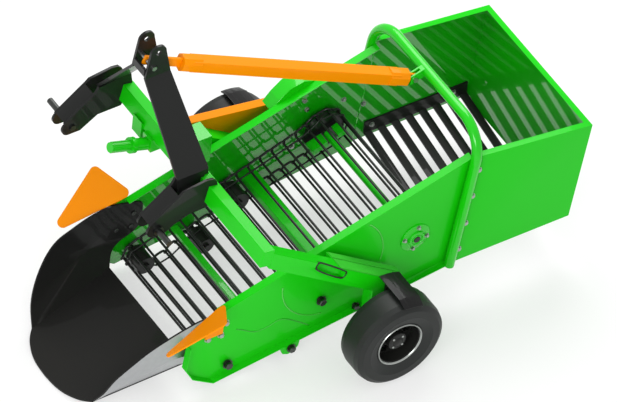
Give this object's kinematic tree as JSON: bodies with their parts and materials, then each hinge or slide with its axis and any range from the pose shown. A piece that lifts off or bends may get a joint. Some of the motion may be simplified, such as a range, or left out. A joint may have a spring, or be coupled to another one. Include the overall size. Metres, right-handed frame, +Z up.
{
  "type": "potato digger",
  "caption": "Single row potato digger for a tractor's three-point linkage, with a rod web elevator, a collecting box, a hoop, gauge wheels and an offset mast.",
  "frame": {"origin": "on the ground under the middle of the machine's bounding box", "axes": "x across the machine to its left side, y to the rear, z up"},
  "size_m": [1.49, 2.392, 1.451],
  "materials": {
    "paint_green": "gloss",
    "paint_orange": "gloss",
    "paint_black": "satin",
    "bright_steel": "bright",
    "tyre_rubber": "matte"
  },
  "bodies": {
    "frame": {"side_wall_left": "paint_green", "side_wall_right": "paint_green", "box_wall_left": "paint_green", "box_wall_right": "paint_green", "box_rear": "paint_green", "hoop": "paint_green", "cross_tube": "paint_green", "cross_channel": "paint_green", "main_beam": "paint_green", "arm_left": "paint_green", "arm_right": "paint_green", "pto_stub": "paint_green", "gearbox": "paint_green", "drive_hood": "paint_green", "divider_left": "paint_orange", "divider_right": "paint_orange", "top_brace": "paint_orange", "chain_case": "paint_orange", "grate": "paint_black", "rod_web": "paint_black", "front_roller": "paint_black", "return_roller": "paint_black", "tie_rod": "paint_black", "mast_strap": "paint_black", "support_roller": "paint_black", "drive_axle": "paint_black", "drive_bearing_left": "paint_black", "drive_bearing_right": "paint_black", "share": "paint_black", "link_bracket_left": "paint_black", "link_bracket_right": "paint_black", "mast_leg_left": "paint_black", "mast_leg_right": "paint_black", "scraper_left": "paint_black", "scraper_right": "paint_black", "link_pin_left": "bright_steel", "link_pin_right": "bright_steel", "brace_pins": "bright_steel"},
    "wheel_left": {"tyre_left": "tyre_rubber", "rim_left": "paint_black"},
    "wheel_right": {"tyre_right": "tyre_rubber", "rim_right": "paint_black"}
  },
  "joints": [
    {"name": "wheel_left_spin", "type": "hinge", "parent": "frame", "child": "wheel_left", "pos_m": [0.664, 0.09, 0.214], "axis": [1, 0, 0], "continuous": true},
    {"name": "wheel_right_spin", "type": "hinge", "parent": "frame", "child": "wheel_right", "pos_m": [-0.628, 0.09, 0.214], "axis": [1, 0, 0], "continuous": true}
  ]
}
